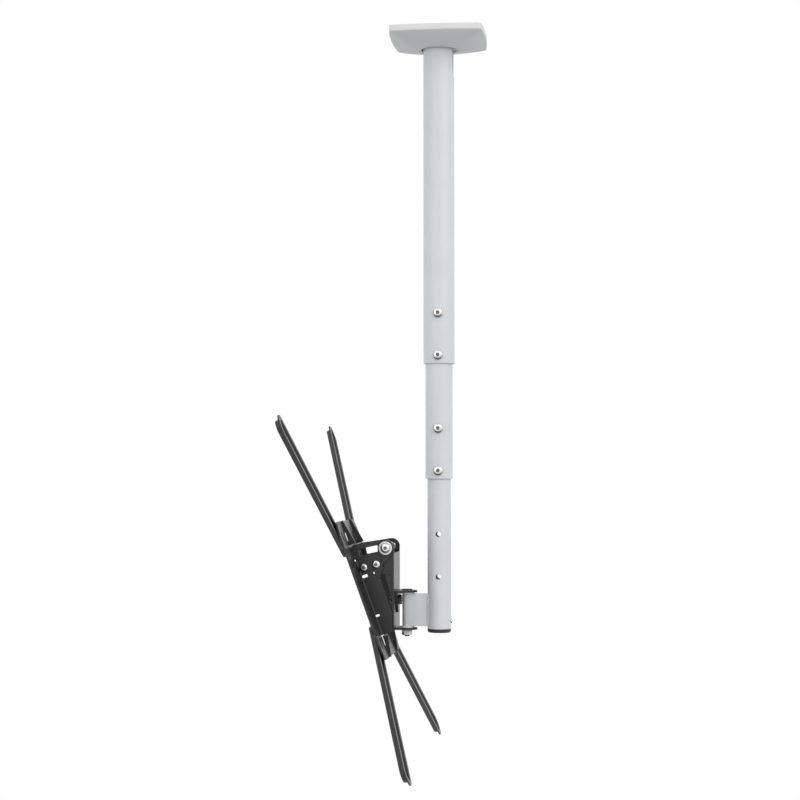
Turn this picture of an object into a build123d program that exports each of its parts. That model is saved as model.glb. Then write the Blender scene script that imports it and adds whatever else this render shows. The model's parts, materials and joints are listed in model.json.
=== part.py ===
from build123d import *
import os
from math import cos, radians, sin, sqrt

os.makedirs("parts", exist_ok=True)

# Telescopic ceiling mount for a flat screen. The origin is the middle of the ceiling plate's top
# face, +Z is up, the screen hangs towards -Y and right means +X. Millimetres and degrees.

# Clearances
FIT_GAP = 0.05
SLIDE_GAP = 0.3
RUN_GAP = 0.1
CHEEK_GAP = 0.3

# Ceiling plate
PLATE_SIDE = 96.0
PLATE_THICKNESS = 4.0
PLATE_CORNER = 10.0
CEILING_HOLE_PITCH = 72.0
CEILING_HOLE_RADIUS = 4.25

# Ceiling cover
COVER_SIDE = 108.0
COVER_BOW = 3.0
COVER_CORNER = 3.0
COVER_LIP = 7.8
COVER_DEPTH = 19.4
COVER_WALL = 2.0
COVER_TUBE_GAP = 2.4
COLLAR_RIM = 4.4
COLLAR_BOW = 0.22
RIB_THICKNESS = 2.0
RIB_PITCH = 48.0
RIB_GAP = 0.3

# Telescoping tubes
UPPER_OD = 37.0
TUBE_WALL = 2.0
UPPER_DROP = 395.5
MIDDLE_REACH = 136.5
LOWER_REACH = 177.0
TUBE_OVERLAP = 79.0
INDEX_STEP = 125.0
INDEX_HOLE_RADIUS = 3.2
CABLE_SLOT_WIDTH = 14.0
CABLE_SLOT_TOP = 10.0
CABLE_SLOT_LENGTH = 42.0

# Lock screws, two in the lower end of each outer tube
LOCK_END_DISTANCE = 9.5
LOCK_PITCH = 50.0
LOCK_SHANK_RADIUS = 3.0
LOCK_HEAD_RADIUS = 5.6
LOCK_HEAD_HEIGHT = 4.2

# End cap of the lower tube
CAP_RIM = 4.5
CAP_ROUNDING = 2.5
CAP_PLUG_LENGTH = 16.0
CAP_SCREW_RISE = 9.0
CAP_SCREW_RADIUS = 1.5
CAP_SCREW_HEAD_RADIUS = 2.6
CAP_SCREW_HEAD_HEIGHT = 1.4
CAP_SCREW_LENGTH = 8.0

# Swivel joint
SWIVEL_REACH = 38.3
ARM_SHEET = 2.5
ARM_HEIGHT = 38.0
ARM_RISE = 3.0
SWIVEL_BOLT_RADIUS = 3.0
SWIVEL_HEAD_RADIUS = 6.5
SWIVEL_HEAD_HEIGHT = 1.4
SWIVEL_WASHER_RADIUS = 8.5
SWIVEL_WASHER_THICKNESS = 1.6
NUT_ACROSS_FLATS = 11.0
NUT_HEIGHT = 6.5
BOLT_TAIL = 1.5
DOME = 0.75
SOCKET_SHARE = 0.42
SOCKET_DEPTH = 0.6

# Yoke and tilt bracket
BRACKET_SHEET = 2.5
YOKE_OFFSET = 9.6
YOKE_WIDTH = 40.0
YOKE_SHOULDER = 6.0
TONGUE_WIDTH = 8.0
TONGUE_DROP = 26.0
LUG_RADIUS = 12.3
LUG_ROOT_WIDTH = 24.0
YOKE_BOLT_DROP = 7.0
YOKE_BOLT_HEAD_HEIGHT = 3.5
SMALL_NUT_ACROSS_FLATS = 10.0
SMALL_NUT_HEIGHT = 5.0
BRACKET_WIDTH = 68.0
EAR_RADIUS = 9.6
PIVOT_RISE = 55.0
EAR_DEPTH = 31.0
GUSSET_REACH = 8.5
GUSSET_DEPTH = 30.0
GUSSET_INSET = 0.8
WEB_TOP_DROP = 6.0

# Tilt pivot
PIVOT_BOLT_RADIUS = 3.0
PIVOT_HEAD_RADIUS = 5.4
PIVOT_HEAD_HEIGHT = 3.8
PIVOT_WASHER_RADIUS = 7.8
PIVOT_WASHER_THICKNESS = 1.6

# Screen side, measured up from the middle of the screen pattern and back from the screen
TILT = 20.0
PIVOT_UP = 36.7
PIVOT_BACK = 47.8
CHEEK_SHEET = 2.5
CHEEK_ROUNDING = 4.0
CHEEK_TOP = 53.0
CHEEK_BOTTOM = 16.5
CHEEK_HEEL = 33.8
CHEEK_LUG_RADIUS = 9.5
WINDOW_LENGTH = 23.0
WINDOW_HEIGHT = 8.4
WINDOW_CORNER = 1.0
WINDOW_BACK = 28.0
WINDOW_UP = 40.5
WINDOW_SLOPE = -8.0
CHEEK_SCREW_SPOTS = ((16.2, 24.0), (31.2, 22.5))
CHEEK_SCREW_RADIUS = 2.5
CHEEK_SCREW_HEAD_RADIUS = 4.9
CHEEK_SCREW_HEAD_HEIGHT = 3.4

# Screen plate
SCREEN_SHEET = 2.5
SCREEN_PLATE_SIDE = 168.0
SCREEN_PLATE_CORNER = 18.0
PLATE_RIB_START = 54.0
PLATE_RIB_END_HEIGHT = 2.0
PLATE_RIB_SLOPE = 0.19
FOLD_SLOT_WIDTH = 24.0
FOLD_SLOT_HEIGHT = 11.0
FOLD_SLOT_ACROSS = 30.5
FOLD_SLOT_UP = 64.5
FOLD_SLOT_CORNER = 3.0
FOLD_SLOT_RISE = 0.7
FLANGE_TOP = 34.0
FLANGE_BOTTOM = 57.0
FLANGE_BACK = 29.8
FLANGE_HEAD_BACK = 37.8
FLANGE_HEAD_HEIGHT = 18.0
FLANGE_TRIM_BACK = 22.2
FLANGE_TRIM_HEIGHT = 20.0
FLANGE_ROUNDING = 3.0
FLANGE_RELIEF = 2.0
FLANGE_BEND = 2.0
LOCK_SLOT_SPOT = (14.4, 14.0)
LOCK_SLOT_LENGTH = 7.5
LOCK_SLOT_HEIGHT = 3.3
STOP_SLOT_SPOT = (12.6, -34.0)
STOP_SLOT_LENGTH = 5.2
STOP_SLOT_HEIGHT = 2.6
PIN_HOLE_SPOT = (25.3, 14.0)
PIN_HOLE_RADIUS = 1.2

# Arms
SCREEN_PATTERN = 400.0
ARM_WIDTH = 27.6
CROWN_WIDTH = 17.0
CROWN_DRAFT = 15.0
ARM_TAIL = 20.5
TAIL_DEPTH = 3.4
ARM_TIP_SETBACK = 3.1
ARM_WALL = 1.6
ARM_DEPTH = 6.4
ARM_WASHER_THICKNESS = 0.5
ARM_WASHER_RADIUS = 10.0
ARM_SLOT_WIDTH = 8.4
ARM_SLOT_START = 26.0
ARM_SLOT_END = 22.0
TIP_HOLE_RADIUS = 3.3
BOSS_FLOOR = 2.0
ARM_BOLT_RADIUS = 3.0
ARM_BOLT_HEAD_RADIUS = 5.2
ARM_BOLT_HEAD_HEIGHT = 2.2
ARM_NUT_RADIUS = 5.5
ARM_NUT_HEIGHT = 0.6

# Places worked out from the sizes above
middle_od = UPPER_OD - 2 * TUBE_WALL - 2 * SLIDE_GAP
lower_od = middle_od - 2 * TUBE_WALL - 2 * SLIDE_GAP
upper_end = -UPPER_DROP
middle_end = upper_end - MIDDLE_REACH
lower_end = middle_end - LOWER_REACH
upper_locks = [upper_end + LOCK_END_DISTANCE + step * LOCK_PITCH for step in range(2)]
middle_locks = [middle_end + LOCK_END_DISTANCE + step * LOCK_PITCH for step in range(2)]
lower_index = [z - INDEX_STEP for z in middle_locks]

arm_bottom = lower_end + ARM_RISE
arm_top = arm_bottom + ARM_HEIGHT
arm_bore = SWIVEL_BOLT_RADIUS + FIT_GAP
arm_half = arm_bore + ARM_SHEET
lug_top_under = arm_top + RUN_GAP + SWIVEL_WASHER_THICKNESS
lug_bottom_over = arm_bottom - RUN_GAP - SWIVEL_WASHER_THICKNESS
yoke_top = lug_top_under + BRACKET_SHEET
yoke_bottom = lug_bottom_over - BRACKET_SHEET
yoke_rear = -SWIVEL_REACH - YOKE_OFFSET
bracket_rear = yoke_rear - BRACKET_SHEET
bracket_front = bracket_rear - BRACKET_SHEET
yoke_bolt_z = arm_top - YOKE_BOLT_DROP
pivot_y = bracket_rear - EAR_RADIUS
pivot_z = arm_top + PIVOT_RISE

cheek_inner = BRACKET_WIDTH / 2 + CHEEK_GAP
cheek_outer = cheek_inner + CHEEK_SHEET
flange_outer = cheek_outer + SCREEN_SHEET
flange_length = FLANGE_TOP + FLANGE_BOTTOM
plate_front = ARM_DEPTH + ARM_WASHER_THICKNESS + RUN_GAP
plate_back = plate_front + SCREEN_SHEET
cheek_front = plate_back + CHEEK_GAP
arm_spot = SCREEN_PLATE_SIDE / 2 - SCREEN_PLATE_CORNER
arm_reach = sqrt(2) * (SCREEN_PATTERN / 2 - arm_spot)

up = Vector(0, -sin(radians(TILT)), cos(radians(TILT)))
back = Vector(0, cos(radians(TILT)), sin(radians(TILT)))
screen_centre = Vector(0, pivot_y, pivot_z) - up * PIVOT_UP - back * PIVOT_BACK

# Sketches on screen_face look at the screen's back from the front, x right and y up the screen
screen_face = Plane(origin=screen_centre, x_dir=(1, 0, 0), z_dir=-back)
swivel_axis = Plane.XY.shift_origin((0, -SWIVEL_REACH, 0))


def side_plane(x):
    """The plane across the mount at x, with its own x back from the screen and y up the screen."""
    return Plane(origin=screen_centre + Vector(x, 0, 0), x_dir=back, z_dir=(1, 0, 0))


def behind(depth):
    """The screen face moved back by depth."""
    return screen_face.offset(-depth)


def depth_of(point):
    """How far a point is behind the screen face."""
    return -screen_face.to_local_coords(point).Z


def save(piece, name):
    """Label a finished piece and write it to its own file."""
    piece.label = name
    export_step(piece, f"parts/{name}.step")


def bowed_square(side, bow, corner):
    """A square with sides that bow outwards and rounded corners."""
    half = side / 2
    with BuildSketch(mode=Mode.PRIVATE) as outline:
        with BuildLine():
            for turn in range(4):
                points = [Vector(half, -half), Vector(half + bow, 0), Vector(half, half)]
                ThreePointArc(*[point.rotate(Axis.Z, 90 * turn) for point in points])
        make_face()
        fillet(outline.vertices(), corner)
    return outline.sketch


def tube(outer_radius, bottom, top):
    """A round tube along Z with the common wall."""
    with BuildPart(mode=Mode.PRIVATE) as body:
        with BuildSketch(Plane.XY.offset(bottom)):
            Circle(outer_radius)
            Circle(outer_radius - TUBE_WALL, mode=Mode.SUBTRACT)
        extrude(amount=top - bottom)
    return body.part


def round_screw(seat, head_radius, head_height, shank_radius, shank_length):
    """A screw with a domed socket head on the seat plane and a shank behind it."""
    with BuildPart() as screw:
        with BuildSketch(seat):
            Circle(head_radius)
        extrude(amount=head_height)
        fillet(screw.edges().group_by(Axis(seat.origin, seat.z_dir))[-1], DOME * head_height)
        with BuildSketch(seat.offset(head_height)):
            RegularPolygon(SOCKET_SHARE * head_radius, 6)
        extrude(amount=-SOCKET_DEPTH * head_height, mode=Mode.SUBTRACT)
        with BuildSketch(seat):
            Circle(shank_radius)
        extrude(amount=-shank_length)
    return screw.part


def hex_nut(seat, across_flats, height, bore):
    """A hexagon nut standing on the seat plane."""
    with BuildPart() as nut:
        with BuildSketch(seat):
            RegularPolygon(across_flats / 2, 6, major_radius=False)
            Circle(bore, mode=Mode.SUBTRACT)
        extrude(amount=height)
    return nut.part


def washer(seat, radius, thickness, bore):
    """A flat washer standing on the seat plane."""
    with BuildPart() as ring:
        with BuildSketch(seat):
            Circle(radius)
            Circle(bore, mode=Mode.SUBTRACT)
        extrude(amount=thickness)
    return ring.part


# Ceiling plate
with BuildPart() as ceiling_plate:
    with BuildSketch():
        RectangleRounded(PLATE_SIDE, PLATE_SIDE, PLATE_CORNER)
        with GridLocations(CEILING_HOLE_PITCH, CEILING_HOLE_PITCH, 2, 2):
            Circle(CEILING_HOLE_RADIUS, mode=Mode.SUBTRACT)
    extrude(amount=-PLATE_THICKNESS)
save(ceiling_plate.part, "ceiling_plate")

# Ceiling cover, a hollow shell with a lip, a sloped underside and ribs that guide it on the plate
collar_radius = UPPER_OD / 2 + COVER_TUBE_GAP
with BuildPart() as ceiling_cover:
    for mode, wall in ((Mode.ADD, 0), (Mode.SUBTRACT, COVER_WALL)):
        lip = bowed_square(COVER_SIDE - 2 * wall, COVER_BOW, COVER_CORNER)
        collar = collar_radius + COLLAR_RIM - wall
        with BuildSketch():
            add(lip)
        extrude(amount=-COVER_LIP, mode=mode)
        with BuildSketch(Plane.XY.offset(-COVER_LIP)):
            add(lip)
        with BuildSketch(Plane.XY.offset(-COVER_DEPTH + wall)):
            add(bowed_square(sqrt(2) * collar, COLLAR_BOW * collar, COVER_CORNER))
        loft(mode=mode)
    with BuildSketch():
        Circle(collar_radius)
    extrude(amount=-COVER_DEPTH, mode=Mode.SUBTRACT)
    rib_inner = PLATE_SIDE / 2 + RIB_GAP
    rib_outer = (COVER_SIDE + COVER_BOW) / 2
    with BuildSketch():
        with PolarLocations(0, 4):
            with Locations((rib_inner, -RIB_PITCH / 2), (rib_inner, RIB_PITCH / 2)):
                Rectangle(rib_outer - rib_inner, RIB_THICKNESS, align=(Align.MIN, Align.CENTER))
    extrude(amount=-COVER_LIP)
save(ceiling_cover.part, "ceiling_cover")

# Upper tube with a cable slot at the rear of its top and threaded holes for the lock screws
with BuildPart() as upper_tube:
    add(tube(UPPER_OD / 2, upper_end, -PLATE_THICKNESS))
    with BuildSketch(Plane.XZ):
        with Locations((0, -CABLE_SLOT_TOP - CABLE_SLOT_LENGTH / 2)):
            SlotOverall(CABLE_SLOT_LENGTH, CABLE_SLOT_WIDTH, rotation=90)
    extrude(amount=-UPPER_OD, mode=Mode.SUBTRACT)
    with BuildSketch(Plane.YZ):
        with Locations(*[(0, z) for z in upper_locks]):
            Circle(LOCK_SHANK_RADIUS + FIT_GAP)
    extrude(amount=UPPER_OD, mode=Mode.SUBTRACT)
save(upper_tube.part, "upper_tube")

# Middle tube, with index holes behind the upper lock screws
with BuildPart() as middle_tube:
    add(tube(middle_od / 2, middle_end, upper_end + TUBE_OVERLAP))
    with BuildSketch(Plane.YZ):
        with Locations(*[(0, z) for z in upper_locks]):
            Circle(INDEX_HOLE_RADIUS)
        with Locations(*[(0, z) for z in middle_locks]):
            Circle(LOCK_SHANK_RADIUS + FIT_GAP)
    extrude(amount=middle_od, mode=Mode.SUBTRACT)
save(middle_tube.part, "middle_tube")

# Lower tube, with index holes through both walls for its two heights
cap_screw_z = lower_end + CAP_SCREW_RISE
with BuildPart() as lower_tube:
    add(tube(lower_od / 2, lower_end, middle_end + TUBE_OVERLAP))
    with BuildSketch(Plane.YZ):
        with Locations(*[(0, z) for z in middle_locks + lower_index]):
            Circle(INDEX_HOLE_RADIUS)
    extrude(amount=lower_od, both=True, mode=Mode.SUBTRACT)
    with BuildSketch(Plane.XZ):
        with Locations((0, cap_screw_z)):
            Circle(CAP_SCREW_RADIUS + FIT_GAP)
    extrude(amount=-lower_od, mode=Mode.SUBTRACT)
save(lower_tube.part, "lower_tube")

# Lock screws, clamping through the wall of each outer tube
for stage, diameter, heights in (("upper", UPPER_OD, upper_locks), ("middle", middle_od, middle_locks)):
    for place, z in zip(("lower", "upper"), heights):
        seat = Plane(origin=(diameter / 2, 0, z), x_dir=(0, 1, 0), z_dir=(1, 0, 0))
        lock_screw = round_screw(seat, LOCK_HEAD_RADIUS, LOCK_HEAD_HEIGHT, LOCK_SHANK_RADIUS, TUBE_WALL)
        save(lock_screw, f"{stage}_lock_screw_{place}")

# End cap, a plug inside the tube with a rounded rim under it
with BuildPart() as end_cap:
    with BuildSketch(Plane.XY.offset(lower_end)):
        Circle(lower_od / 2)
    extrude(amount=-CAP_RIM)
    fillet(end_cap.edges().group_by(Axis.Z)[0], CAP_ROUNDING)
    with BuildSketch(Plane.XY.offset(lower_end)):
        Circle(lower_od / 2 - TUBE_WALL - FIT_GAP)
    extrude(amount=CAP_PLUG_LENGTH)
    with BuildSketch(Plane.XZ):
        with Locations((0, cap_screw_z)):
            Circle(CAP_SCREW_RADIUS + FIT_GAP)
    extrude(amount=-lower_od, mode=Mode.SUBTRACT)
save(end_cap.part, "end_cap")

# Small screw that holds the cap at the rear
cap_screw_seat = Plane(origin=(0, lower_od / 2, cap_screw_z), x_dir=(1, 0, 0), z_dir=(0, 1, 0))
save(round_screw(cap_screw_seat, CAP_SCREW_HEAD_RADIUS, CAP_SCREW_HEAD_HEIGHT, CAP_SCREW_RADIUS,
                 CAP_SCREW_LENGTH), "cap_screw")

# Swivel arm, a sheet folded round the swivel bolt and welded to the lower tube
with BuildPart() as swivel_arm:
    with BuildSketch(Plane.XY.offset(arm_bottom)):
        for half, mode in ((arm_half, Mode.ADD), (arm_bore, Mode.SUBTRACT)):
            with Locations((0, -SWIVEL_REACH)):
                Circle(half, mode=mode)
            with Locations((0, -SWIVEL_REACH / 2)):
                Rectangle(2 * half, SWIVEL_REACH, mode=mode)
        Circle(lower_od / 2 + FIT_GAP, mode=Mode.SUBTRACT)
    extrude(amount=ARM_HEIGHT)
save(swivel_arm.part, "swivel_arm")

# Swivel yoke, a rounded lug above the arm with a tapered tongue that is bolted to the tilt bracket
with BuildPart() as swivel_yoke:
    with BuildSketch(Plane.XY.offset(lug_top_under)):
        with Locations((0, -SWIVEL_REACH)):
            Circle(LUG_RADIUS)
        with Locations((0, yoke_rear - BRACKET_SHEET / 2)):
            Rectangle(YOKE_WIDTH, BRACKET_SHEET)
        make_hull()
        with Locations((0, bracket_rear)):
            Rectangle(YOKE_WIDTH, LUG_RADIUS, align=(Align.CENTER, Align.MAX), mode=Mode.SUBTRACT)
        with Locations((0, -SWIVEL_REACH)):
            Circle(arm_bore, mode=Mode.SUBTRACT)
    extrude(amount=BRACKET_SHEET)
    with BuildSketch(Plane.XZ.offset(-bracket_rear)):
        with BuildLine():
            shoulder_z = yoke_top - YOKE_SHOULDER
            tongue_z = yoke_top - TONGUE_DROP
            Polyline((-YOKE_WIDTH / 2, yoke_top), (-YOKE_WIDTH / 2, shoulder_z),
                     (-TONGUE_WIDTH / 2, tongue_z), (TONGUE_WIDTH / 2, tongue_z),
                     (YOKE_WIDTH / 2, shoulder_z), (YOKE_WIDTH / 2, yoke_top), close=True)
        make_face()
        with Locations((0, yoke_bolt_z)):
            Circle(arm_bore, mode=Mode.SUBTRACT)
    extrude(amount=-BRACKET_SHEET)
save(swivel_yoke.part, "swivel_yoke")

# Tilt bracket, a U whose ears carry the tilt pivot, with a rounded lug folded back under the arm
with BuildPart() as tilt_bracket:
    with BuildSketch(Plane.YZ.offset(-BRACKET_WIDTH / 2)):
        with BuildLine():
            ear_front = pivot_y - EAR_RADIUS
            ear_bottom = pivot_z - EAR_DEPTH
            Line((bracket_rear, yoke_bottom), (bracket_rear, pivot_z))
            ThreePointArc((bracket_rear, pivot_z), (pivot_y, pivot_z + EAR_RADIUS), (ear_front, pivot_z))
            Polyline((ear_front, pivot_z), (ear_front, ear_bottom),
                     (bracket_front - GUSSET_REACH, ear_bottom), (bracket_front, ear_bottom - GUSSET_DEPTH),
                     (bracket_front, yoke_bottom), (bracket_rear, yoke_bottom))
        make_face()
    extrude(amount=BRACKET_WIDTH)
    inside = BRACKET_WIDTH / 2 - BRACKET_SHEET
    with BuildSketch(Plane.XZ.offset(-bracket_front)):
        with Locations((0, (pivot_z + EAR_RADIUS + yoke_bottom) / 2)):
            Rectangle(2 * inside, pivot_z + EAR_RADIUS - yoke_bottom)
    extrude(amount=2 * EAR_RADIUS, mode=Mode.SUBTRACT)
    with BuildSketch(Plane.XZ.offset(-bracket_rear)):
        with Locations((0, pivot_z - WEB_TOP_DROP)):
            Rectangle(2 * inside, EAR_RADIUS + WEB_TOP_DROP, align=(Align.CENTER, Align.MIN))
    extrude(amount=BRACKET_SHEET, mode=Mode.SUBTRACT)
    for side in (-1, 1):
        with BuildSketch(Plane.XZ.offset(-bracket_front)):
            with Locations((side * BRACKET_WIDTH / 2, (ear_bottom + yoke_bottom) / 2)):
                Rectangle(2 * GUSSET_INSET, ear_bottom - yoke_bottom)
        extrude(amount=EAR_RADIUS, mode=Mode.SUBTRACT)
    with BuildSketch(Plane.YZ):
        with Locations((pivot_y, pivot_z)):
            Circle(PIVOT_BOLT_RADIUS + FIT_GAP)
    extrude(amount=BRACKET_WIDTH, both=True, mode=Mode.SUBTRACT)
    with BuildSketch(Plane.XZ.offset(-bracket_rear)):
        with Locations((0, yoke_bolt_z)):
            Circle(arm_bore)
    extrude(amount=BRACKET_SHEET, mode=Mode.SUBTRACT)
    with BuildSketch(Plane.XY.offset(yoke_bottom)):
        with Locations((0, -SWIVEL_REACH)):
            Circle(LUG_RADIUS)
        with Locations((0, bracket_rear - BRACKET_SHEET / 2)):
            Rectangle(LUG_ROOT_WIDTH, BRACKET_SHEET)
        make_hull()
        with Locations((0, -SWIVEL_REACH)):
            Circle(arm_bore, mode=Mode.SUBTRACT)
    extrude(amount=BRACKET_SHEET)
save(tilt_bracket.part, "tilt_bracket")

# Swivel bolt with its nut and the nylon washers above and below the arm
swivel_top = swivel_axis.offset(yoke_top)
bolt_length = yoke_top - yoke_bottom + NUT_HEIGHT + BOLT_TAIL
save(round_screw(swivel_top, SWIVEL_HEAD_RADIUS, SWIVEL_HEAD_HEIGHT, SWIVEL_BOLT_RADIUS, bolt_length),
     "swivel_bolt")
nut_seat = swivel_axis.offset(yoke_bottom - NUT_HEIGHT)
save(hex_nut(nut_seat, NUT_ACROSS_FLATS, NUT_HEIGHT, arm_bore), "swivel_nut")
for place, z in (("upper", arm_top + RUN_GAP), ("lower", lug_bottom_over)):
    ring = washer(swivel_axis.offset(z), SWIVEL_WASHER_RADIUS, SWIVEL_WASHER_THICKNESS, arm_bore)
    save(ring, f"swivel_washer_{place}")

# Bolt and nut that join the yoke to the tilt bracket
yoke_bolt_seat = Plane(origin=(0, yoke_rear, yoke_bolt_z), x_dir=(0, 0, 1), z_dir=(0, 1, 0))
with BuildPart() as yoke_bolt:
    with BuildSketch(yoke_bolt_seat):
        RegularPolygon(SMALL_NUT_ACROSS_FLATS / 2, 6, major_radius=False)
    extrude(amount=YOKE_BOLT_HEAD_HEIGHT)
    with BuildSketch(yoke_bolt_seat):
        Circle(SWIVEL_BOLT_RADIUS)
    extrude(amount=-(2 * BRACKET_SHEET + SMALL_NUT_HEIGHT + BOLT_TAIL))
save(yoke_bolt.part, "yoke_bolt")
yoke_nut_seat = Plane(origin=(0, bracket_front, yoke_bolt_z), x_dir=(0, 0, 1), z_dir=(0, -1, 0))
save(hex_nut(yoke_nut_seat, SMALL_NUT_ACROSS_FLATS, SMALL_NUT_HEIGHT, arm_bore), "yoke_nut")

# Screen plate, a square sheet with two flanges folded back from its middle opening, tapered ribs in
# line with them and slots at the foot of the ribs
with BuildPart() as screen_plate:
    with BuildSketch(behind(plate_front)):
        RectangleRounded(SCREEN_PLATE_SIDE, SCREEN_PLATE_SIDE, SCREEN_PLATE_CORNER)
        with Locations((0, (FLANGE_TOP - FLANGE_BOTTOM) / 2)):
            Rectangle(2 * cheek_outer, flange_length, mode=Mode.SUBTRACT)
        relief_width = 2 * flange_outer + 4 * FLANGE_BEND
        with Locations((0, FLANGE_TOP + FLANGE_RELIEF / 2), (0, -FLANGE_BOTTOM - FLANGE_RELIEF / 2)):
            Rectangle(relief_width, FLANGE_RELIEF, mode=Mode.SUBTRACT)
        with GridLocations(2 * arm_spot, 2 * arm_spot, 2, 2):
            Circle(ARM_BOLT_RADIUS + FIT_GAP, mode=Mode.SUBTRACT)
    extrude(amount=-SCREEN_SHEET)
    for x in (-flange_outer, cheek_outer):
        with BuildSketch(side_plane(x)) as flange:
            with BuildLine():
                Polyline((plate_front, -FLANGE_BOTTOM), (FLANGE_TRIM_BACK, -FLANGE_BOTTOM),
                         (FLANGE_BACK, FLANGE_TRIM_HEIGHT - FLANGE_BOTTOM),
                         (FLANGE_BACK, FLANGE_TOP - FLANGE_HEAD_HEIGHT - FLANGE_HEAD_BACK + FLANGE_BACK),
                         (FLANGE_HEAD_BACK, FLANGE_TOP - FLANGE_HEAD_HEIGHT),
                         (FLANGE_HEAD_BACK, FLANGE_TOP), (plate_front, FLANGE_TOP), close=True)
            make_face()
            fillet(flange.vertices().filter_by(lambda corner: corner.X > plate_back), FLANGE_ROUNDING)
        extrude(amount=SCREEN_SHEET)
    for depth, radius in ((plate_back, FLANGE_BEND), (plate_front, FLANGE_BEND + SCREEN_SHEET)):
        folds = screen_plate.edges().filter_by(lambda edge: abs(depth_of(edge.center()) - depth) < FIT_GAP)
        fillet(folds.filter_by(lambda edge: abs(edge.length - flange_length) < FIT_GAP), radius)
    rib_end = SCREEN_PLATE_SIDE / 2
    rib_end_back = plate_back + PLATE_RIB_END_HEIGHT
    for turn, rib_start in ((1, PLATE_RIB_START), (-1, FLANGE_BOTTOM + FLANGE_RELIEF)):
        rib_start_back = rib_end_back + PLATE_RIB_SLOPE * (rib_end - rib_start)
        for x in (-flange_outer, cheek_outer):
            with BuildSketch(side_plane(x)):
                with BuildLine():
                    Polyline((plate_front, turn * rib_start), (rib_start_back, turn * rib_start),
                             (rib_end_back, turn * rib_end), (plate_front, turn * rib_end), close=True)
                make_face()
            extrude(amount=SCREEN_SHEET)
    with BuildSketch(behind(plate_front)):
        with GridLocations(2 * FOLD_SLOT_ACROSS, 2 * FOLD_SLOT_UP, 2, 2):
            RectangleRounded(FOLD_SLOT_WIDTH, FOLD_SLOT_HEIGHT, FOLD_SLOT_CORNER)
    extrude(amount=-SCREEN_SHEET - FOLD_SLOT_RISE, mode=Mode.SUBTRACT)
    with BuildSketch(side_plane(0)):
        with Locations(*CHEEK_SCREW_SPOTS):
            Circle(CHEEK_SCREW_RADIUS + FIT_GAP)
        with Locations(LOCK_SLOT_SPOT):
            SlotOverall(LOCK_SLOT_LENGTH, LOCK_SLOT_HEIGHT)
        with Locations(STOP_SLOT_SPOT):
            SlotOverall(STOP_SLOT_LENGTH, STOP_SLOT_HEIGHT)
        with Locations(PIN_HOLE_SPOT):
            Circle(PIN_HOLE_RADIUS)
    extrude(amount=flange_outer + FLANGE_BEND, both=True, mode=Mode.SUBTRACT)
save(screen_plate.part, "screen_plate")

# Tilt cheeks inside the flanges, reaching back to the tilt pivot, with their screws and the pivot hardware
for hand, turn in (("right", 1), ("left", -1)):
    start = cheek_inner if turn > 0 else -cheek_outer
    with BuildPart() as tilt_cheek:
        with BuildSketch(side_plane(start)):
            with Locations((PIVOT_BACK, PIVOT_UP)):
                Circle(CHEEK_LUG_RADIUS)
            with Locations((cheek_front + CHEEK_ROUNDING, CHEEK_TOP - CHEEK_ROUNDING),
                           (cheek_front + CHEEK_ROUNDING, CHEEK_BOTTOM + CHEEK_ROUNDING),
                           (CHEEK_HEEL, CHEEK_BOTTOM + CHEEK_ROUNDING)):
                Circle(CHEEK_ROUNDING)
            make_hull()
            with Locations((PIVOT_BACK, PIVOT_UP)):
                Circle(PIVOT_BOLT_RADIUS + FIT_GAP, mode=Mode.SUBTRACT)
            with Locations((WINDOW_BACK, WINDOW_UP)):
                RectangleRounded(WINDOW_LENGTH, WINDOW_HEIGHT, WINDOW_CORNER, WINDOW_SLOPE,
                                 mode=Mode.SUBTRACT)
            with Locations(*CHEEK_SCREW_SPOTS):
                Circle(CHEEK_SCREW_RADIUS + FIT_GAP, mode=Mode.SUBTRACT)
        extrude(amount=CHEEK_SHEET)
    save(tilt_cheek.part, f"tilt_cheek_{hand}")

    outward = (turn, 0, 0)
    for place, (depth, height) in zip(("front", "rear"), CHEEK_SCREW_SPOTS):
        spot = screen_centre + back * depth + up * height
        seat = Plane(origin=spot + Vector(turn * flange_outer, 0, 0), x_dir=up, z_dir=outward)
        save(round_screw(seat, CHEEK_SCREW_HEAD_RADIUS, CHEEK_SCREW_HEAD_HEIGHT, CHEEK_SCREW_RADIUS,
                         CHEEK_SHEET + SCREEN_SHEET), f"cheek_screw_{hand}_{place}")

    pivot_seat = Plane(origin=(turn * cheek_outer, pivot_y, pivot_z), x_dir=(0, 0, 1), z_dir=outward)
    save(washer(pivot_seat, PIVOT_WASHER_RADIUS, PIVOT_WASHER_THICKNESS, PIVOT_BOLT_RADIUS + FIT_GAP),
         f"pivot_washer_{hand}")
    pivot_grip = PIVOT_WASHER_THICKNESS + CHEEK_SHEET + CHEEK_GAP + BRACKET_SHEET + RUN_GAP
    save(round_screw(pivot_seat.offset(PIVOT_WASHER_THICKNESS), PIVOT_HEAD_RADIUS, PIVOT_HEAD_HEIGHT,
                     PIVOT_BOLT_RADIUS, pivot_grip + SMALL_NUT_HEIGHT + BOLT_TAIL), f"pivot_bolt_{hand}")
    nut_face = Vector(turn * (inside - RUN_GAP), pivot_y, pivot_z)
    pivot_nut_seat = Plane(origin=nut_face, x_dir=(0, 0, 1), z_dir=(-turn, 0, 0))
    save(hex_nut(pivot_nut_seat, SMALL_NUT_ACROSS_FLATS, SMALL_NUT_HEIGHT, PIVOT_BOLT_RADIUS + FIT_GAP),
         f"pivot_nut_{hand}")

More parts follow.
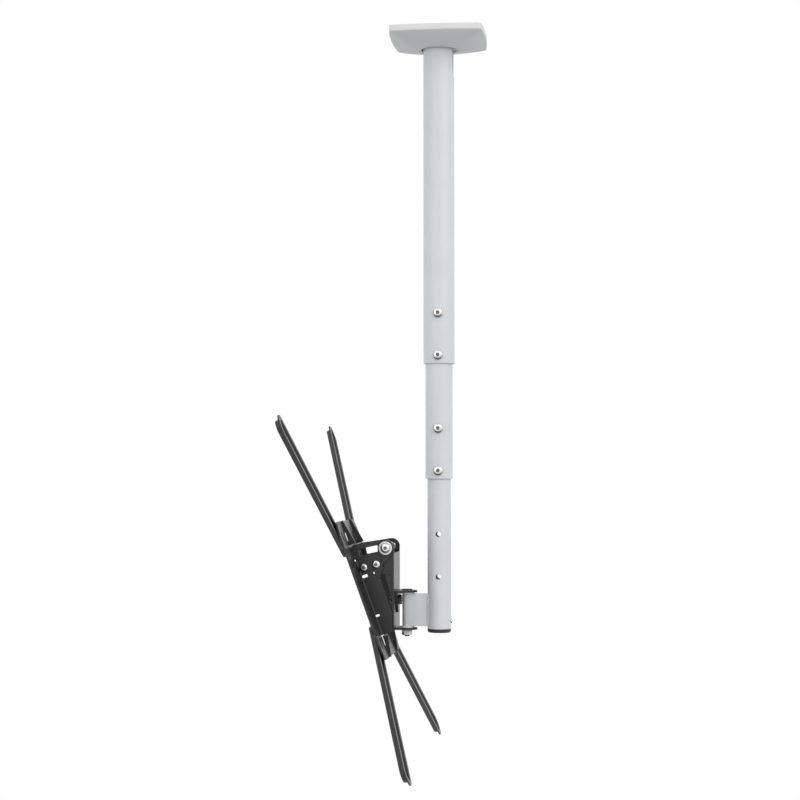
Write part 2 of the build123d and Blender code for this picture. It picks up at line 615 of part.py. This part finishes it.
# Arms, pressed strips with a raised crown towards the screen and a flat brim, turning on the screen plate
crown_wall = ARM_WALL / cos(radians(CROWN_DRAFT))
boss_radius = CROWN_WIDTH / 2 - ARM_WALL
arm_end = arm_reach - ARM_TIP_SETBACK
for rise, level in ((1, "upper"), (-1, "lower")):
    for side, hand in ((1, "right"), (-1, "left")):
        pivot = screen_face.from_local_coords((side * arm_spot, rise * arm_spot, 0))
        along = (screen_face.x_dir * side + screen_face.y_dir * rise).normalized()
        face = Plane(origin=pivot, x_dir=along, z_dir=-back)
        crown_middle = ((arm_end - ARM_TAIL) / 2, 0)
        crown_length = arm_end + ARM_TAIL + CROWN_WIDTH
        with BuildPart() as arm:
            with BuildSketch(face.offset(ARM_WALL - ARM_DEPTH)):
                with Locations((arm_end / 2, 0)):
                    SlotOverall(arm_end + ARM_WIDTH, ARM_WIDTH)
            extrude(amount=-ARM_WALL)
            with BuildSketch(face):
                with Locations(crown_middle):
                    SlotOverall(crown_length, CROWN_WIDTH)
            extrude(amount=-ARM_DEPTH, taper=-CROWN_DRAFT)
            with BuildSketch(face.offset(-ARM_WALL)):
                with Locations(crown_middle):
                    SlotOverall(crown_length - 2 * crown_wall, CROWN_WIDTH - 2 * crown_wall)
            extrude(amount=ARM_WALL - ARM_DEPTH, taper=-CROWN_DRAFT, mode=Mode.SUBTRACT)
            with BuildSketch(face.offset(-TAIL_DEPTH)):
                Rectangle(ARM_TAIL + ARM_WIDTH, 2 * ARM_WIDTH, align=(Align.MAX, Align.CENTER))
                Circle(ARM_WIDTH / 2, mode=Mode.SUBTRACT)
            extrude(amount=-ARM_DEPTH, mode=Mode.SUBTRACT)
            with BuildSketch(face):
                Circle(boss_radius)
            extrude(amount=-ARM_DEPTH)
            with BuildSketch(face):
                Circle(boss_radius - ARM_WALL)
            extrude(amount=BOSS_FLOOR - ARM_DEPTH, mode=Mode.SUBTRACT)
            with BuildSketch(face):
                Circle(ARM_BOLT_RADIUS + FIT_GAP)
                with Locations((arm_reach, 0)):
                    Circle(TIP_HOLE_RADIUS)
                with Locations(((ARM_SLOT_START + arm_reach - ARM_SLOT_END) / 2, 0)):
                    SlotOverall(arm_reach - ARM_SLOT_END - ARM_SLOT_START, ARM_SLOT_WIDTH)
            extrude(amount=-ARM_DEPTH, mode=Mode.SUBTRACT)
        save(arm.part, f"arm_{level}_{hand}")

        head_seat = face.offset(BOSS_FLOOR - ARM_DEPTH + RUN_GAP)
        grip = plate_back - ARM_DEPTH + BOSS_FLOOR + RUN_GAP
        save(round_screw(head_seat, ARM_BOLT_HEAD_RADIUS, ARM_BOLT_HEAD_HEIGHT, ARM_BOLT_RADIUS,
                         grip + ARM_NUT_HEIGHT), f"arm_bolt_{level}_{hand}")
        washer_seat = face.offset(-plate_front)
        save(washer(washer_seat, ARM_WASHER_RADIUS, ARM_WASHER_THICKNESS, ARM_BOLT_RADIUS + FIT_GAP),
             f"arm_washer_{level}_{hand}")
        nut_seat = face.offset(-plate_back - ARM_NUT_HEIGHT)
        save(washer(nut_seat, ARM_NUT_RADIUS, ARM_NUT_HEIGHT, ARM_BOLT_RADIUS + FIT_GAP),
             f"arm_nut_{level}_{hand}")
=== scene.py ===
import json
import math

import bmesh
import bpy
import numpy as np
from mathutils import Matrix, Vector


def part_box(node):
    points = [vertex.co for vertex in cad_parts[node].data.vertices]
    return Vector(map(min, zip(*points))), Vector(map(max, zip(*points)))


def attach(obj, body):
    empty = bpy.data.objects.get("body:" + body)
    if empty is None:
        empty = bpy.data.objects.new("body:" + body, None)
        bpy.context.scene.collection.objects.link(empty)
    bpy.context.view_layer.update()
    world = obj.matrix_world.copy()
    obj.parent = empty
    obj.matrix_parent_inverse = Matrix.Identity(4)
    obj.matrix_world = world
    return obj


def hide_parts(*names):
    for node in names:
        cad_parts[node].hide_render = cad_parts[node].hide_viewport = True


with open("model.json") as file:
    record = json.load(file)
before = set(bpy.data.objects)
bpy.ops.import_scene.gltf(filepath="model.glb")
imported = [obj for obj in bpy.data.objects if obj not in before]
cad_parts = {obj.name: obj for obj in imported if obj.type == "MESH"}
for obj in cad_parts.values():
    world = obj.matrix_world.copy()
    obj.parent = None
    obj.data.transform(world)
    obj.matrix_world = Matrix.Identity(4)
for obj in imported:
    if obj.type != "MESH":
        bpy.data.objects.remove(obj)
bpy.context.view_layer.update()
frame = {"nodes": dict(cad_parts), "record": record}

# Camera, fitted to the photograph's perspective, in metres and degrees
CAMERA_PLACE = (2.1423, 0.1728, -0.5359)
CAMERA_YAW = -174.15
CAMERA_PITCH = 2.594
CAMERA_LENS = 81.41
SENSOR_WIDTH = 36.0
CAMERA_REACH = 100.0

# Coated surfaces
EDGE_SAMPLES = 6
GRAIN_DETAIL = 3.0
GRAIN_HEIGHT = 0.0002
CLOUD_SCALE = 22.0
CLOUD_DETAIL = 4.0
CLOUD_DARK = 0.35
CLOUD_LIGHT = 0.65
COAT_VARIATION = 0.12

# Plated fasteners, with painted reflection and painted shade: where each mask goes from the painted dark to
# bright, by the normal's height and its way to the right, and by how open the surface is
PLATING_GRAIN_SCALE = 700.0
PLATING_GRAIN_DEPTH = 0.05
PLATING_EDGE = 0.0003
PLATING_VARIATION = 0.15
RECESS_SAMPLES = 8
UPWARD_LIMITS = (-0.75, 0.15)
RIGHTWARD_LIMITS = (-1.1, -0.35)
OPEN_LIMITS = (0.35, 0.9)

# Hexagon nuts
NUT_TURNS = 96
NUT_RINGS = 18
NUT_BORE = 0.0030
CHAMFER_START = 0.96
CHAMFER_ANGLE = 30.0
NUTS = (("swivel_nut", 2, "swivel", "zinc"), ("yoke_nut", 1, "swivel", "black_paint"),
        ("pivot_nut_right", 0, "screen", "zinc"), ("pivot_nut_left", 0, "screen", "zinc"))

# Weld beads between the swivel arm and the lower tube
BEAD_RADIUS = 0.0015
BEAD_RIPPLE = 0.10
BEAD_PITCH = 0.0024
BEAD_MARGIN = 0.0005
BEAD_END_POWER = 24
BEAD_RINGS = 160
BEAD_TURNS = 20

# Ceiling cover, its shell and the ribs inside it
COVER_BOW = 0.003
COVER_LIP = 0.0078
COVER_WALL = 0.002
COVER_EDGE = 0.0014
COVER_EDGE_TURN = 64.0
COVER_EDGE_RINGS = 7
COVER_SLOPE_RINGS = 41
COVER_SWELL = 0.10
COVER_CORNER_POWER = 60.0
COVER_ROUND_POWER = 2.0
COVER_CORNER_FADE = 4
LEAST_COSINE = 0.001
COVER_TURNS = 320
COLLAR_BORE = 0.0209
COLLAR_RADIUS = 0.0253
SMALL_EDGE = 0.0003
RIB_INNER = 0.0483
RIB_OUTER = 0.0552
RIB_PITCH = 0.048
RIB_THICKNESS = 0.002

# Points closer than this are one point
MERGE_REACH = 0.000001

# Studio
FLOOR_HEIGHT = -1.45
STAGE_REACH = 9.0
FLOOR_TONE = 0.5
FLOOR_ROUGHNESS = 0.9
FLOOR_WHITE = 0.95
FLOOR_GLOW = 1.03
WORLD_LIGHT = 0.96
LIGHTS = (("key", (1.8, 2.2, 1.2), (0.0, 0.0, -0.4), 1.6, 30.0),
          ("fill", (2.4, -1.6, 0.2), (0.0, 0.0, -0.5), 2.0, 10.0))


def new_material(name):
    """A node material, its tree and its principled shader."""
    material = bpy.data.materials.new(name)
    material.use_nodes = True
    tree = material.node_tree
    shader = tree.nodes["Principled BSDF"]
    return material, tree, shader


def surface_group():
    """Soft edges, fine grain and broad unevenness, shared by every coated or plated surface."""
    group = bpy.data.node_groups.new("coated_surface", "ShaderNodeTree")
    face = group.interface
    face.new_socket("Grain Scale", in_out="INPUT", socket_type="NodeSocketFloat")
    face.new_socket("Grain Depth", in_out="INPUT", socket_type="NodeSocketFloat")
    face.new_socket("Edge Radius", in_out="INPUT", socket_type="NodeSocketFloat")
    face.new_socket("Roughness", in_out="INPUT", socket_type="NodeSocketFloat")
    face.new_socket("Variation", in_out="INPUT", socket_type="NodeSocketFloat")
    face.new_socket("Normal", in_out="OUTPUT", socket_type="NodeSocketVector")
    face.new_socket("Roughness", in_out="OUTPUT", socket_type="NodeSocketFloat")
    face.new_socket("Cloud", in_out="OUTPUT", socket_type="NodeSocketFloat")
    nodes, links = group.nodes, group.links
    given = nodes.new("NodeGroupInput")
    result = nodes.new("NodeGroupOutput")
    place = nodes.new("ShaderNodeTexCoord")

    bevel = nodes.new("ShaderNodeBevel")
    bevel.samples = EDGE_SAMPLES
    links.new(given.outputs["Edge Radius"], bevel.inputs["Radius"])

    grain = nodes.new("ShaderNodeTexNoise")
    grain.inputs["Detail"].default_value = GRAIN_DETAIL
    links.new(place.outputs["Object"], grain.inputs["Vector"])
    links.new(given.outputs["Grain Scale"], grain.inputs["Scale"])
    bump = nodes.new("ShaderNodeBump")
    bump.inputs["Distance"].default_value = GRAIN_HEIGHT
    links.new(grain.outputs["Fac"], bump.inputs["Height"])
    links.new(given.outputs["Grain Depth"], bump.inputs["Strength"])
    links.new(bevel.outputs["Normal"], bump.inputs["Normal"])
    links.new(bump.outputs["Normal"], result.inputs["Normal"])

    cloud = nodes.new("ShaderNodeTexNoise")
    cloud.inputs["Scale"].default_value = CLOUD_SCALE
    cloud.inputs["Detail"].default_value = CLOUD_DETAIL
    links.new(place.outputs["Object"], cloud.inputs["Vector"])
    links.new(cloud.outputs["Fac"], result.inputs["Cloud"])
    centred = nodes.new("ShaderNodeMath")
    centred.operation = "SUBTRACT"
    centred.inputs[1].default_value = 0.5
    links.new(cloud.outputs["Fac"], centred.inputs[0])
    change = nodes.new("ShaderNodeMath")
    change.operation = "MULTIPLY_ADD"
    links.new(centred.outputs["Value"], change.inputs[0])
    links.new(given.outputs["Variation"], change.inputs[1])
    links.new(given.outputs["Roughness"], change.inputs[2])
    links.new(change.outputs["Value"], result.inputs["Roughness"])
    return group


SURFACE = surface_group()


def lay_coat(tree, shader, grain_scale, grain_depth, edge_radius, roughness, variation):
    """Join the shared surface to a shader."""
    surface = tree.nodes.new("ShaderNodeGroup")
    surface.node_tree = SURFACE
    surface.inputs["Grain Scale"].default_value = grain_scale
    surface.inputs["Grain Depth"].default_value = grain_depth
    surface.inputs["Edge Radius"].default_value = edge_radius
    surface.inputs["Roughness"].default_value = roughness
    surface.inputs["Variation"].default_value = variation
    tree.links.new(surface.outputs["Roughness"], shader.inputs["Roughness"])
    tree.links.new(surface.outputs["Normal"], shader.inputs["Normal"])
    return surface


def coated(name, dark, light, roughness, grain_scale, grain_depth, edge_radius):
    """A coated surface that wanders between two close colours."""
    material, tree, shader = new_material(name)
    surface = lay_coat(tree, shader, grain_scale, grain_depth, edge_radius, roughness, COAT_VARIATION)
    ramp = tree.nodes.new("ShaderNodeValToRGB")
    ramp.color_ramp.elements[0].position = CLOUD_DARK
    ramp.color_ramp.elements[1].position = CLOUD_LIGHT
    ramp.color_ramp.elements[0].color = (*dark, 1.0)
    ramp.color_ramp.elements[1].color = (*light, 1.0)
    tree.links.new(surface.outputs["Cloud"], ramp.inputs["Fac"])
    tree.links.new(ramp.outputs["Color"], shader.inputs["Base Color"])
    return material


def painted_reflection_group():
    """Bright plating with painted reflection and painted shade. Its colour is darkened in recesses as
    painted shade, and towards the underside and towards -Y, the camera's left, as a painted reflection of a
    dark room."""
    group = bpy.data.node_groups.new("plated_painted_reflection", "ShaderNodeTree")
    face = group.interface
    face.new_socket("Bright", in_out="INPUT", socket_type="NodeSocketColor")
    face.new_socket("Dark", in_out="INPUT", socket_type="NodeSocketColor")
    face.new_socket("Painted Shade Reach", in_out="INPUT", socket_type="NodeSocketFloat")
    face.new_socket("Color", in_out="OUTPUT", socket_type="NodeSocketColor")
    nodes, links = group.nodes, group.links
    given = nodes.new("NodeGroupInput")
    result = nodes.new("NodeGroupOutput")
    recess_shade_node = nodes.new("ShaderNodeAmbientOcclusion")
    recess_shade_node.samples = RECESS_SAMPLES
    links.new(given.outputs["Painted Shade Reach"], recess_shade_node.inputs["Distance"])
    facing = nodes.new("ShaderNodeNewGeometry")
    split = nodes.new("ShaderNodeSeparateXYZ")
    links.new(facing.outputs["Normal"], split.inputs["Vector"])
    masks = []
    for value, limits in ((split.outputs["Z"], UPWARD_LIMITS), (split.outputs["Y"], RIGHTWARD_LIMITS),
                          (recess_shade_node.outputs["AO"], OPEN_LIMITS)):
        mask = nodes.new("ShaderNodeMapRange")
        mask.interpolation_type = "SMOOTHSTEP"
        mask.inputs["From Min"].default_value, mask.inputs["From Max"].default_value = limits
        links.new(value, mask.inputs["Value"])
        masks.append(mask.outputs["Result"])
    bright_part = masks[0]
    for mask in masks[1:]:
        product = nodes.new("ShaderNodeMath")
        product.operation = "MULTIPLY"
        links.new(bright_part, product.inputs[0])
        links.new(mask, product.inputs[1])
        bright_part = product.outputs["Value"]
    tone = nodes.new("ShaderNodeMix")
    tone.data_type = "RGBA"
    links.new(bright_part, tone.inputs["Factor"])
    links.new(given.outputs["Dark"], tone.inputs["A"])
    links.new(given.outputs["Bright"], tone.inputs["B"])
    links.new(tone.outputs["Result"], result.inputs["Color"])
    return group


PLATED_PAINTED_REFLECTION = painted_reflection_group()


def plated(name, bright, dark, roughness, reach):
    """Bright zinc plating on a fastener, with painted shade and painted reflection in its colour."""
    material, tree, shader = new_material(name)
    lay_coat(tree, shader, PLATING_GRAIN_SCALE, PLATING_GRAIN_DEPTH, PLATING_EDGE, roughness,
             PLATING_VARIATION)
    tone = tree.nodes.new("ShaderNodeGroup")
    tone.node_tree = PLATED_PAINTED_REFLECTION
    tone.inputs["Bright"].default_value = (*bright, 1.0)
    tone.inputs["Dark"].default_value = (*dark, 1.0)
    tone.inputs["Painted Shade Reach"].default_value = reach
    tree.links.new(tone.outputs["Color"], shader.inputs["Base Color"])
    shader.inputs["Metallic"].default_value = 1.0
    return material


MATERIALS = {
    "tube_paint": coated("tube_paint", (0.60, 0.62, 0.645), (0.63, 0.65, 0.675), 0.42, 900.0, 0.10, 0.0004),
    "cover_plastic": coated("cover_plastic", (0.61, 0.62, 0.63), (0.64, 0.65, 0.66), 0.5, 1400.0, 0.08,
                            0.0012),
    "black_paint": coated("black_paint", (0.012, 0.012, 0.013), (0.017, 0.017, 0.018), 0.34, 1100.0, 0.20,
                          0.0006),
    "black_plastic": coated("black_plastic", (0.012, 0.012, 0.013), (0.016, 0.016, 0.017), 0.45, 1600.0,
                            0.12, 0.0004),
    "nylon": coated("nylon", (0.78, 0.78, 0.76), (0.83, 0.83, 0.81), 0.4, 1200.0, 0.05, 0.0002),
    "nylon_black": coated("nylon_black", (0.02, 0.02, 0.02), (0.03, 0.03, 0.03), 0.4, 1200.0, 0.05, 0.0002),
    # zinc's second colour is the painted shade and painted reflection that the plated group mixes in
    "zinc": plated("zinc", (0.86, 0.86, 0.85), (0.10, 0.10, 0.105), 0.2, 0.08),
}


def dress_nodes():
    """Give every carried-over node the material of its slot."""
    for part in frame["record"]["subparts"]:
        piece = bpy.data.objects[frame["nodes"][part["node"]].name]
        for slot in piece.material_slots:
            slot.material = MATERIALS[part["material_slot"]]


def lay_mesh(name, points, faces, smooth):
    """A mesh object from rows of points and of corner numbers."""
    mesh = bpy.data.meshes.new(name)
    mesh.from_pydata(points.reshape(-1, 3).tolist(), [], faces.tolist())
    mesh.polygons.foreach_set("use_smooth", np.full(len(faces), smooth))
    mesh.update()
    piece = bpy.data.objects.new(name, mesh)
    bpy.context.collection.objects.link(piece)
    return piece


def lay_surface(name, points, ends_meet=False):
    """A smooth mesh over a grid of points that closes on itself around, and end to end if its ends meet."""
    rows, columns = points.shape[:2]
    row, column = np.meshgrid(np.arange(rows if ends_meet else rows - 1), np.arange(columns), indexing="ij")
    next_row, next_column = (row + 1) % rows, (column + 1) % columns
    corners = ((row, column), (row, next_column), (next_row, next_column), (next_row, column))
    faces = np.stack([r * columns + c for r, c in corners], axis=-1).reshape(-1, 4)
    return lay_mesh(name, points, faces, smooth=True)


def finish_piece(piece, body, slot):
    """Let a piece ride on its body with the material of its slot."""
    piece.data.materials.append(MATERIALS[slot])
    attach(piece, body)


def close_and_turn(piece):
    """Merge the points that meet at a seam or a pole, then turn every face of the closed piece outwards."""
    shell = bmesh.new()
    shell.from_mesh(piece.data)
    bmesh.ops.remove_doubles(shell, verts=shell.verts, dist=MERGE_REACH)
    bmesh.ops.recalc_face_normals(shell, faces=shell.faces)
    shell.to_mesh(piece.data)
    shell.free()


def chamfered_nut(node, axis, body, slot):
    """A hexagon nut in place of a plain one. At turn t and height z its radius is the least of the
    hexagon's, flat / cos(t from the flat's middle), and that of a cone from each end, which starts at a
    share of the flat and grows by z / tan 30."""
    low, high = (np.array(corner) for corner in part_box(node))
    across = [side for side in range(3) if side != axis]
    centre = (low + high) / 2
    height = high[axis] - low[axis]
    flat = (high - low)[across].min() / 2
    turn = np.arange(NUT_TURNS) * 2 * math.pi / NUT_TURNS
    hexagon = flat / np.cos((turn + math.pi / 6) % (math.pi / 3) - math.pi / 6)
    rise = (1 - np.cos(np.linspace(0, math.pi, NUT_RINGS))) / 2 * height
    cone = CHAMFER_START * flat + np.minimum(rise, height - rise) / math.tan(math.radians(CHAMFER_ANGLE))
    radius = np.minimum(hexagon[None, :], cone[:, None])
    bore = np.full((1, NUT_TURNS), NUT_BORE)
    radius = np.concatenate([bore, radius, bore])
    rise = np.concatenate([[0.0], rise, [height]])[:, None] + 0 * turn
    points = np.empty((*radius.shape, 3))
    points[..., axis] = low[axis] + rise
    points[..., across[0]] = centre[across[0]] + radius * np.cos(turn)
    points[..., across[1]] = centre[across[1]] + radius * np.sin(turn)
    piece = lay_surface(f"{node}_chamfered", points, ends_meet=True)
    close_and_turn(piece)
    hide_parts(node)
    finish_piece(piece, body, slot)


def weld_bead(side):
    """The weld up one side of the swivel arm. Its section is a circle of radius r that swells with the
    height z as r (1 + ripple sin(2 pi z / pitch)) and closes to a point at both ends."""
    arm_low, arm_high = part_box("swivel_arm")
    tube_low, tube_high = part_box("lower_tube")
    tube_radius = (tube_high.x - tube_low.x) / 2
    half = arm_high.x
    corner_y = -math.sqrt(tube_radius ** 2 - half ** 2)
    rise = np.linspace(0, 1, BEAD_RINGS)[:, None]
    turn = np.arange(BEAD_TURNS)[None, :] * 2 * math.pi / BEAD_TURNS
    length = arm_high.z - arm_low.z - 2 * BEAD_MARGIN
    closing = np.sqrt(np.clip(1 - (2 * rise - 1) ** BEAD_END_POWER, 0, 1))
    radius = BEAD_RADIUS * closing * (1 + BEAD_RIPPLE * np.sin(2 * math.pi * rise * length / BEAD_PITCH))
    points = np.empty((BEAD_RINGS, BEAD_TURNS, 3))
    points[..., 0] = side * (half + radius * np.cos(turn))
    points[..., 1] = corner_y + radius * np.sin(turn)
    points[..., 2] = arm_low.z + BEAD_MARGIN + rise * length
    piece = lay_surface(f"swivel_arm_weld_{'right' if side > 0 else 'left'}", points)
    close_and_turn(piece)
    finish_piece(piece, "lower", "tube_paint")


def bowed_radius(turn, half, power):
    """The radius at a turn of a square with bowed sides. Each side alone gives (half + bow (1 - tan^2)) /
    cos of the turn from its middle, and the four join as (sum radius^-p)^(-1/p), which is a square with
    sharp corners at a high power p and nearly a circle at p = 2."""
    cosine = np.clip(np.cos(turn[..., None] - np.arange(4) * math.pi / 2), LEAST_COSINE, 1)
    reach = half + COVER_BOW * (1 - np.minimum(1 / cosine ** 2 - 1, 1))
    power = np.asarray(power)[..., None]
    return half * np.sum((half * cosine / reach) ** power[..., None], axis=-1) ** (-1 / power)


def moulded_cover():
    """The ceiling cover as one moulded shell. Its underside runs from the bowed square of the lip at s = 0
    to the round collar at s = 1: radius (1 - s) square + s collar, with corners that grow rounder on the
    way, and height -drop (s + swell sin pi s). The inside follows it one wall thickness further in."""
    low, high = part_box("ceiling_cover")
    half = (high.x - low.x) / 2 - COVER_BOW
    turn = np.arange(COVER_TURNS)[None, :] * 2 * math.pi / COVER_TURNS
    outer = bowed_radius(turn, half, [COVER_CORNER_POWER])
    inner = bowed_radius(turn, half - COVER_WALL, [COVER_CORNER_POWER])
    ring = np.ones_like(turn)

    arc = np.radians(np.linspace(0, COVER_EDGE_TURN, COVER_EDGE_RINGS))[:, None]
    edge = outer - COVER_EDGE * (1 - np.cos(arc))
    edge_height = -COVER_LIP + COVER_EDGE * (1 - np.sin(arc))
    way = np.linspace(0, 1, COVER_SLOPE_RINGS)[1:, None]
    sharpness = (1 - way[:, 0]) ** COVER_CORNER_FADE
    power = COVER_ROUND_POWER + (COVER_CORNER_POWER - COVER_ROUND_POWER) * sharpness
    inset = COVER_EDGE * (1 - np.cos(arc[-1]))
    drop = high.z - low.z + edge_height[-1]
    slope_height = edge_height[-1] - drop * (way + COVER_SWELL * np.sin(math.pi * way))
    slope = (1 - way) * (bowed_radius(turn, half, power) - inset) + way * COLLAR_RADIUS
    back = way[::-1]
    inside = (1 - back) * bowed_radius(turn, half - COVER_WALL, power[::-1]) + back * COLLAR_BORE
    bore = COLLAR_BORE * ring

    rings = ((inner + SMALL_EDGE, [[0.0]]), (outer - SMALL_EDGE, [[0.0]]), (outer, [[-SMALL_EDGE]]),
             (edge, edge_height), (slope, slope_height),
             (bore + SMALL_EDGE, slope_height[-1:]), (bore, slope_height[-1:] + SMALL_EDGE),
             (bore, slope_height[-1:] + COVER_WALL - SMALL_EDGE),
             (inside, slope_height[::-1] + COVER_WALL), (inner, edge_height[-1:] + COVER_WALL),
             (inner, [[-SMALL_EDGE]]))
    radius = np.concatenate([reach for reach, rise in rings])
    height = np.concatenate([np.asarray(rise) * ring for reach, rise in rings])
    points = np.stack([radius * np.cos(turn), radius * np.sin(turn), high.z + height], axis=-1)
    piece = lay_surface("ceiling_cover_moulded", points, ends_meet=True)
    close_and_turn(piece)
    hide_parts("ceiling_cover")
    finish_piece(piece, "cover", "cover_plastic")


def cover_ribs():
    """The eight ribs inside the cover, two boxes of 8 corners that are turned by t to the four sides:
    x cos t - y sin t and x sin t + y cos t."""
    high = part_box("ceiling_cover")[1]
    corner = np.array([(x, y, z) for x in (0, 1) for y in (-0.5, 0.5) for z in (0, 1)])
    box = np.tile(corner, (2, 1, 1)) * (RIB_OUTER - RIB_INNER, RIB_THICKNESS, -COVER_LIP)
    box[..., 0] += RIB_INNER
    box[..., 1] += np.array([[-RIB_PITCH / 2], [RIB_PITCH / 2]])
    turn = np.arange(4)[:, None, None] * math.pi / 2
    x = np.cos(turn) * box[..., 0] - np.sin(turn) * box[..., 1]
    y = np.sin(turn) * box[..., 0] + np.cos(turn) * box[..., 1]
    z = high.z + box[..., 2] + 0 * x
    points = np.stack([x, y, z], axis=-1)
    sides = np.array([(0, 1, 3, 2), (4, 6, 7, 5), (0, 4, 5, 1), (2, 3, 7, 6), (0, 2, 6, 4), (1, 5, 7, 3)])
    faces = (np.arange(8)[:, None, None] * 8 + sides).reshape(-1, 4)
    piece = lay_mesh("ceiling_cover_ribs", points, faces, smooth=False)
    close_and_turn(piece)
    finish_piece(piece, "cover", "cover_plastic")


def camera():
    """The photograph's camera."""
    data = bpy.data.cameras.new("camera")
    data.lens = CAMERA_LENS
    data.sensor_width = SENSOR_WIDTH
    data.clip_end = CAMERA_REACH
    yaw, pitch = math.radians(CAMERA_YAW), math.radians(CAMERA_PITCH)
    ahead = Vector((math.cos(yaw) * math.cos(pitch), math.sin(yaw) * math.cos(pitch), math.sin(pitch)))
    seat = bpy.data.objects.new("camera", data)
    seat.location = CAMERA_PLACE
    seat.rotation_euler = ahead.to_track_quat("-Z", "Y").to_euler()
    bpy.context.collection.objects.link(seat)
    bpy.context.scene.camera = seat


def area_light(name, place, target, size, power):
    """A soft square lamp aimed at a point."""
    data = bpy.data.lights.new(name, "AREA")
    data.size = size
    data.energy = power
    lamp = bpy.data.objects.new(name, data)
    lamp.location = place
    lamp.rotation_euler = (Vector(target) - Vector(place)).to_track_quat("-Z", "Y").to_euler()
    bpy.context.collection.objects.link(lamp)


def seen_directly(tree):
    """A socket that is 1 for rays of the camera, of a reflection or through glass, and 0 for lighting."""
    path = tree.nodes.new("ShaderNodeLightPath")
    seen = path.outputs["Is Camera Ray"]
    for ray in ("Is Glossy Ray", "Is Transmission Ray"):
        either = tree.nodes.new("ShaderNodeMath")
        either.operation = "MAXIMUM"
        tree.links.new(seen, either.inputs[0])
        tree.links.new(path.outputs[ray], either.inputs[1])
        seen = either.outputs["Value"]
    return seen


def white_stage():
    """A pale floor and a world that are white to the camera, in metal and in glass."""
    material, tree, shader = new_material("stage")
    shader.inputs["Base Color"].default_value = (FLOOR_TONE, FLOOR_TONE, FLOOR_TONE, 1.0)
    shader.inputs["Roughness"].default_value = FLOOR_ROUGHNESS
    nodes, links = tree.nodes, tree.links
    glow = nodes.new("ShaderNodeEmission")
    glow.inputs["Strength"].default_value = FLOOR_GLOW
    kept = nodes.new("ShaderNodeMath")
    kept.operation = "MULTIPLY"
    kept.inputs[1].default_value = FLOOR_WHITE
    links.new(seen_directly(tree), kept.inputs[0])
    mix = nodes.new("ShaderNodeMixShader")
    links.new(kept.outputs["Value"], mix.inputs["Fac"])
    links.new(shader.outputs["BSDF"], mix.inputs[1])
    links.new(glow.outputs["Emission"], mix.inputs[2])
    links.new(mix.outputs["Shader"], nodes["Material Output"].inputs["Surface"])

    square = np.array([(-1, -1), (1, -1), (1, 1), (-1, 1)]) * STAGE_REACH
    corners = np.column_stack([square, np.full(4, FLOOR_HEIGHT)])
    floor = lay_mesh("floor", corners, np.array([(0, 1, 2, 3)]), smooth=False)
    floor.data.materials.append(material)

    world = bpy.data.worlds.new("studio")
    bpy.context.scene.world = world
    world.use_nodes = True
    nodes, links = world.node_tree.nodes, world.node_tree.links
    strength = nodes.new("ShaderNodeMapRange")
    strength.inputs["To Min"].default_value = WORLD_LIGHT
    strength.inputs["To Max"].default_value = 1.0
    links.new(seen_directly(world.node_tree), strength.inputs["Value"])
    sky = nodes["Background"]
    sky.inputs["Color"].default_value = (1.0, 1.0, 1.0, 1.0)
    links.new(strength.outputs["Result"], sky.inputs["Strength"])


dress_nodes()
for node, axis, body, slot in NUTS:
    chamfered_nut(node, axis, body, slot)
for side in (1, -1):
    weld_bead(side)
moulded_cover()
cover_ribs()
camera()
white_stage()
for lamp in LIGHTS:
    area_light(*lamp)

bpy.context.scene.view_settings.view_transform = "Standard"
